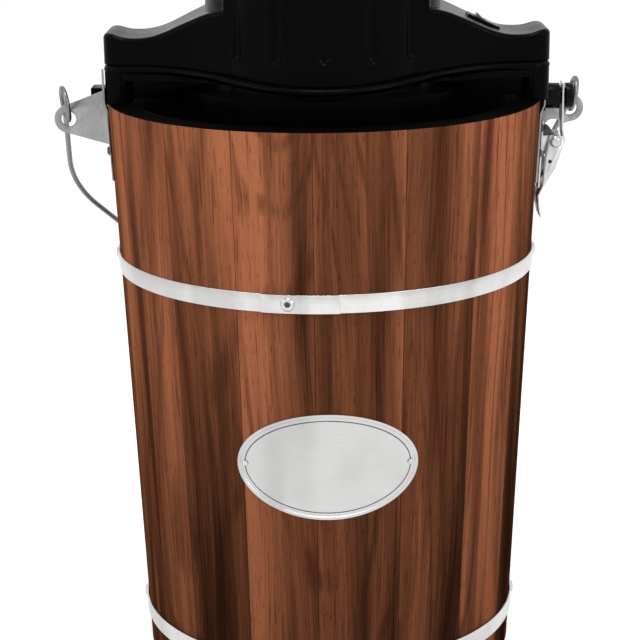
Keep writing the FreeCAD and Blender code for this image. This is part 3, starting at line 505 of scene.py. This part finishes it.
class MAKER_OT_staves(bpy.types.Operator):
    """Stained staves with rounded seams, each with its own run of grain"""
    bl_idname = "maker.staves"
    bl_label = "Staves"

    def execute(self, context):
        look = context.scene.maker_bucket
        for number, (node, tones_and_shade) in enumerate(zip(STAVES, STAVE_TONES_AND_SHADE)):
            start, end = span_of(node)
            middle = (start + end) / 2
            profile = [(BASE_RADIUS - look.wall, 0), (BASE_RADIUS, 0), (RIM_RADIUS, STAVE_TOP),
                       (RIM_RADIUS - look.wall, STAVE_TOP)]
            bm = bmesh.new()
            turned(bm, profile, steps=10, start=start, sweep=end - start)
            rounded(bm, [e for e in bm.edges if self.is_seam(e)], look.seam_round)
            shift = (GRAIN_ACROSS * number + GRAIN_EXTRA * number % GRAIN_WRAP, GRAIN_ALONG * number)
            grain_map(bm, lambda spot: self.across(spot, middle), lambda spot: spot.z, shift)
            # The wood's own lightness plus painted light and shade, mostly lighter towards the top
            write_tone_and_shade(bm, *tones_and_shade)
            finished(bm, node + "_dressed", "bucket", "stave_wood", node)
        return {"FINISHED"}

    def across(self, spot, middle):
        """Distance round the bucket from a stave's middle."""
        turn = math.atan2(spot.y, spot.x) - middle
        return math.remainder(turn, FULL_TURN) * RIM_RADIUS

    def is_seam(self, edge):
        """True for an upright outer edge beside one of the stave's flat sides."""
        if any(v.co.xy.length <= outside(v.co.z) - NEAR for v in edge.verts):
            return False
        out = edge.verts[0].co.xy
        sides = [f for f in edge.link_faces if len(f.verts) == 4 and abs(f.normal.xy.dot(out)) < 0.02]
        return edge.calc_length() > 0.1 and bool(sides)


class MAKER_OT_hoops(bpy.types.Operator):
    """Bright bands with rounded edges and a lapped end"""
    bl_idname = "maker.hoops"
    bl_label = "Hoops"

    def execute(self, context):
        look = context.scene.maker_bucket
        for node in ("upper_hoop", "lower_hoop"):
            dressed(node, look.hoop_round, 3, 50)
        return {"FINISHED"}


class MAKER_OT_plate(bpy.types.Operator):
    """Bare oval plate with a raised rim and an engraved border, bent round the bucket"""
    bl_idname = "maker.plate"
    bl_label = "Oval plate"

    def execute(self, context):
        look = context.scene.maker_bucket
        low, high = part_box("nameplate")
        middle = (low + high) / 2
        half_x, half_z = (high.x - low.x) / 2, (high.z - low.z) / 2
        bm = bmesh.new()
        bmesh.ops.create_circle(bm, cap_ends=True, segments=144, radius=1.0)
        bmesh.ops.scale(bm, vec=(half_x, half_z, 1), verts=bm.verts)
        steps = [(look.plate_rim, 0), RIM_STEP, (look.plate_border - look.plate_rim, 0),
                 (GROOVE_SIDE, -GROOVE_SIDE), (GROOVE_WIDTH, 0), (GROOVE_SIDE, GROOVE_SIDE)]
        groove_floor = 4
        face = max(bm.faces, key=lambda f: f.calc_area())
        for step, (width, depth) in enumerate(steps):
            ring = bmesh.ops.inset_individual(bm, faces=[face], thickness=width, depth=depth,
                                              use_even_offset=True)["faces"]
            for band in ring:
                band.material_index = 1 if step == groove_floor else 0
        for share in (0.85, 0.8, 0.75, 0.65, 0.5, 0.3):
            bmesh.ops.inset_individual(bm, faces=[face], thickness=0.0)
            bmesh.ops.scale(bm, vec=(share, share, 1), verts=face.verts)
        bmesh.ops.recalc_face_normals(bm, faces=bm.faces)
        top = max(v.co.z for v in bm.verts)
        rim = [e for e in bm.edges if e.is_boundary]
        skirt = bmesh.ops.extrude_edge_only(bm, edges=rim)["geom"]
        edge = [v for v in skirt if isinstance(v, bmesh.types.BMVert)]
        bmesh.ops.translate(bm, vec=(0, 0, -PLATE_SKIRT), verts=edge)
        bmesh.ops.triangulate(bm, faces=[f for f in bm.faces if len(f.verts) > 4])
        for vert in bm.verts:
            z = middle.z + vert.co.y
            reach = outside(z) + PLATE_STAND + vert.co.z - top
            turn = math.asin(max(-1, min(1, vert.co.x / outside(z))))
            vert.co = Vector((reach * math.sin(turn), -reach * math.cos(turn), z))
        bmesh.ops.recalc_face_normals(bm, faces=bm.faces)
        piece = finished(bm, "oval_plate", "bucket", "plate_steel", "nameplate")
        piece.data.materials.append(FINISHES["engraved"])
        piece.data.set_sharp_from_angle(angle=math.radians(28))
        return {"FINISHED"}


class MAKER_OT_fasteners(bpy.types.Operator):
    """Hoop rivets with a punched centre, and softened rivets, pins and screws"""
    bl_idname = "maker.fasteners"
    bl_label = "Fasteners"

    def execute(self, context):
        source = bmesh.new()
        source.from_mesh(NODES["hoop_rivets"].data)
        bmesh.ops.remove_doubles(source, verts=source.verts, dist=MERGE)
        places = self.heads(source)
        source.free()
        outline = [(0.0011, -0.0006), (0.0014, 0.0004), (0.0019, 0.0014), (0.0026, RIVET_HEAD),
                   (0.0034, 0.0014), (0.0040, 0.0007), (0.0042, 0.0), (0.0042, -0.0003),
                   (0.0012, -0.0008)]
        bm = bmesh.new()
        for centre, facing in places:
            single = bmesh.new()
            turned(single, outline, RIVET_STEPS)
            bmesh.ops.holes_fill(single, edges=single.edges, sides=0)
            dimple = bmesh.ops.create_circle(single, cap_ends=True, segments=RIVET_STEPS, radius=0.00125,
                                             matrix=Matrix.Translation((0, 0, 0.00005)))["verts"]
            for face in {f for v in dimple for f in v.link_faces}:
                face.material_index = 1
            turn = facing.to_track_quat("Z", "Y").to_matrix().to_4x4()
            bmesh.ops.transform(single, matrix=Matrix.Translation(centre) @ turn, verts=single.verts)
            part = bpy.data.meshes.new("rivet")
            single.to_mesh(part)
            single.free()
            bm.from_mesh(part)
        piece = finished(bm, "hoop_rivets_dressed", "bucket", "steel", "hoop_rivets")
        piece.data.materials.append(FINISHES["dark_steel"])
        for node in ("nameplate_pins", "lever_pin", "head_screws"):
            dressed(node, SMALL_ROUND, 3)
        # The bracket rivets take dark steel: painted shade, as they sit in shade beside the bucket
        dressed("bracket_rivets", SMALL_ROUND, 3).data.materials[0] = FINISHES["dark_steel"]
        return {"FINISHED"}

    def heads(self, bm):
        """Foot and direction of each rivet's head."""
        places = []
        left = set(bm.verts)
        while left:
            group = [left.pop()]
            for vert in group:
                near = [e.other_vert(vert) for e in vert.link_edges]
                fresh = [v for v in near if v in left]
                left.difference_update(fresh)
                group += fresh
            middle = sum((v.co for v in group), Vector()) / len(group)
            out = Vector((middle.x, middle.y, 0)).normalized()
            reach = max(v.co.dot(out) for v in group) - RIVET_HEAD
            places.append((out * reach + Vector((0, 0, middle.z)), out))
        return places


class MAKER_OT_brackets(bpy.types.Operator):
    """Pressed brackets and the side latch"""
    bl_idname = "maker.brackets"
    bl_label = "Brackets and latch"

    def execute(self, context):
        look = context.scene.maker_bucket
        for node in ("latch_base", "latch_barrel", "latch_lever", "latch_strap"):
            dressed(node, look.metal_round)
        for node in ("bracket_left", "bracket_right"):
            # The brackets take the darker zinc copy: painted shade
            dressed(node, look.metal_round).data.materials[0] = FINISHES["dull_zinc"]
        return {"FINISHED"}


class MAKER_OT_bail(bpy.types.Operator):
    """Wire bail and its turned wooden grip"""
    bl_idname = "maker.bail"
    bl_label = "Bail"

    def execute(self, context):
        dressed("bail_wire", 0.0005)
        low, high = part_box("bail_grip")
        centre = (low + high) / 2
        hinge = Vector(next(j["axis"] for j in BEHAVIOUR["joints"] if j["name"] == "bail_swing"))
        bm = bmesh.new()
        one_end = [(0.0018, GRIP_HALF), (0.0062, GRIP_HALF), (0.0078, GRIP_HALF - 0.0018),
                   (0.0086, 0.040), (0.0094, 0.0345), (0.0094, 0.0335), (0.01, 0.033)]
        outline = [(r, -z) for r, z in one_end] + [(0.0102, 0.0)] + one_end[::-1]
        turned(bm, outline, 40)
        grain_map(bm, lambda p: math.atan2(p.y, p.x) * 0.01, lambda p: p.z, (0.2, 0.4))
        write_tone_and_shade(bm, 0.15, 0.15)
        turn = hinge.to_track_quat("Z", "Y").to_matrix().to_4x4()
        bmesh.ops.transform(bm, matrix=Matrix.Translation(centre) @ turn, verts=bm.verts)
        soften(finished(bm, "bail_grip_dressed", "bail", "grip_wood", "bail_grip"), 0.0003, 2, 25)
        return {"FINISHED"}


class MAKER_OT_head(bpy.types.Operator):
    """Motor head: shell, base, switch, inlet, tongue and catch"""
    bl_idname = "maker.head"
    bl_label = "Motor head"

    def execute(self, context):
        look = context.scene.maker_head
        weighted(dressed("head_shell", look.shell_round, 3, 48))
        weighted(dressed("head_base", 0))
        for node in ("switch_bezel", "rocker", "cord_inlet", "end_tongue", "catch_spool"):
            dressed(node, SMALL_ROUND, 3)
        return {"FINISHED"}


class MAKER_OT_insides(bpy.types.Operator):
    """Liner, can, dasher, gears and motor keep their shape and get their finish"""
    bl_idname = "maker.insides"
    bl_label = "Insides"

    def execute(self, context):
        for node in ("bucket_liner", "canister_can", "canister_lid", "lid_hub", "dasher", "can_pivot"):
            dressed(node, 0.0003)
        for node, thing in NODES.items():
            if thing.hide_render:
                continue
            finish = "laminated" if node in LAMINATED else SLOT_OF[node]
            thing.data.materials.clear()
            thing.data.materials.append(FINISHES[finish])
        return {"FINISHED"}


class MAKER_OT_studio(bpy.types.Operator):
    """Floor, world, lamps and camera"""
    bl_idname = "maker.studio"
    bl_label = "Studio"

    def execute(self, context):
        scene = context.scene
        look = scene.maker_studio
        scene.view_settings.view_transform = "Standard"
        self.floor(scene, look)
        self.sky(scene, look)
        for name, size, spot in LAMPS:
            self.lamp(scene, name, getattr(look, name), size, spot)
        self.camera(scene, look)
        return {"FINISHED"}

    def floor(self, scene, look):
        """Pale floor that keeps the shadow."""
        bm = bmesh.new()
        bmesh.ops.create_grid(bm, x_segments=1, y_segments=1, size=FLOOR_HALF)
        mesh = bpy.data.meshes.new("floor")
        bm.to_mesh(mesh)
        bm.free()
        floor = bpy.data.objects.new("floor", mesh)
        scene.collection.objects.link(floor)
        mesh.materials.append(self.floor_finish(look))

    def camera(self, scene, look):
        """Camera in front of the bucket, looking down a little."""
        lens = bpy.data.cameras.new("camera")
        lens.lens = look.focal
        lens.sensor_width = 36
        camera = bpy.data.objects.new("camera", lens)
        scene.collection.objects.link(camera)
        turn = (Matrix.Rotation(look.yaw, 4, "Z") @ Matrix.Rotation(math.pi / 2 - look.pitch, 4, "X")
                @ Matrix.Rotation(look.roll, 4, "Z"))
        camera.matrix_world = Matrix.Translation((0, -look.distance, look.height)) @ turn
        scene.camera = camera

    def seen(self, tree):
        """One where a ray comes from the camera or from a mirror or glass."""
        path = tree.nodes.new("ShaderNodeLightPath")
        total = path.outputs["Is Camera Ray"]
        for name in ("Is Glossy Ray", "Is Transmission Ray"):
            node = tree.nodes.new("ShaderNodeMath")
            node.operation = "MAXIMUM"
            tree.links.new(node.inputs[0], total)
            tree.links.new(node.inputs[1], path.outputs[name])
            total = node.outputs[0]
        return total

    def floor_finish(self, look):
        """Pale floor with a glow of its own where it is seen."""
        finish = Finish("pale_floor")
        finish.set(Base_Color=tuple(look.floor), Roughness=0.9, Specular_IOR_Level=0.0)
        strength = finish.times(self.seen(finish.tree), FLOOR_GLOW)
        glow = finish.add("Emission", {"Color": (1.0, 1.0, 1.0), "Strength": strength})
        both = finish.add("AddShader", {0: finish.shader.outputs[0], 1: glow.outputs[0]})
        finish.put(finish.end.inputs["Surface"], both.outputs[0])
        return finish.material

    def sky(self, scene, look):
        """Plain light from all round that is white where it is seen."""
        world = bpy.data.worlds.new("studio")
        scene.world = world
        world.use_nodes = True
        tree = world.node_tree
        strength = tree.nodes.new("ShaderNodeMapRange")
        tree.links.new(strength.inputs["Value"], self.seen(tree))
        strength.inputs["To Min"].default_value = look.ambient
        strength.inputs["To Max"].default_value = 1.0
        background = tree.nodes["Background"]
        tree.links.new(background.inputs["Strength"], strength.outputs[0])
        background.inputs["Color"].default_value = (1, 1, 1, 1)

    def lamp(self, scene, name, energy, size, spot):
        """Square lamp that points at the bucket."""
        light = bpy.data.lights.new(name, "AREA")
        light.energy = energy
        light.size = size
        thing = bpy.data.objects.new(name, light)
        scene.collection.objects.link(thing)
        aim = Vector((0, 0, LAMP_AIM)) - Vector(spot)
        turn = aim.to_track_quat("-Z", "Y").to_matrix().to_4x4()
        thing.matrix_world = Matrix.Translation(spot) @ turn


class MAKER_PT_panel(bpy.types.Panel):
    """Everything that builds the maker"""
    bl_idname = "MAKER_PT_panel"
    bl_label = "Ice cream maker"
    bl_space_type = "VIEW_3D"
    bl_region_type = "UI"
    bl_category = "Maker"

    def draw(self, context):
        for name in GROUPS:
            group = getattr(context.scene, name)
            box = self.layout.box()
            for key in group.__annotations__:
                box.prop(group, key)
        for operator in OPERATORS:
            self.layout.operator(operator.bl_idname)


GROUPS = {"maker_bucket": MakerBucket, "maker_head": MakerHead, "maker_studio": MakerStudio}
OPERATORS = (MAKER_OT_staves, MAKER_OT_hoops, MAKER_OT_plate, MAKER_OT_fasteners, MAKER_OT_brackets,
             MAKER_OT_bail, MAKER_OT_head, MAKER_OT_insides, MAKER_OT_studio)


def register():
    for cls in (*GROUPS.values(), *OPERATORS, MAKER_PT_panel):
        bpy.utils.register_class(cls)
    for name, cls in GROUPS.items():
        setattr(bpy.types.Scene, name, PointerProperty(type=cls))


def unregister():
    for name in GROUPS:
        delattr(bpy.types.Scene, name)
    for cls in (MAKER_PT_panel, *reversed(OPERATORS), *GROUPS.values()):
        bpy.utils.unregister_class(cls)


def main():
    register()
    make_finishes()
    for operator in OPERATORS:
        group, name = operator.bl_idname.split(".")
        getattr(getattr(bpy.ops, group), name)()


if __name__ == "__main__":
    main()
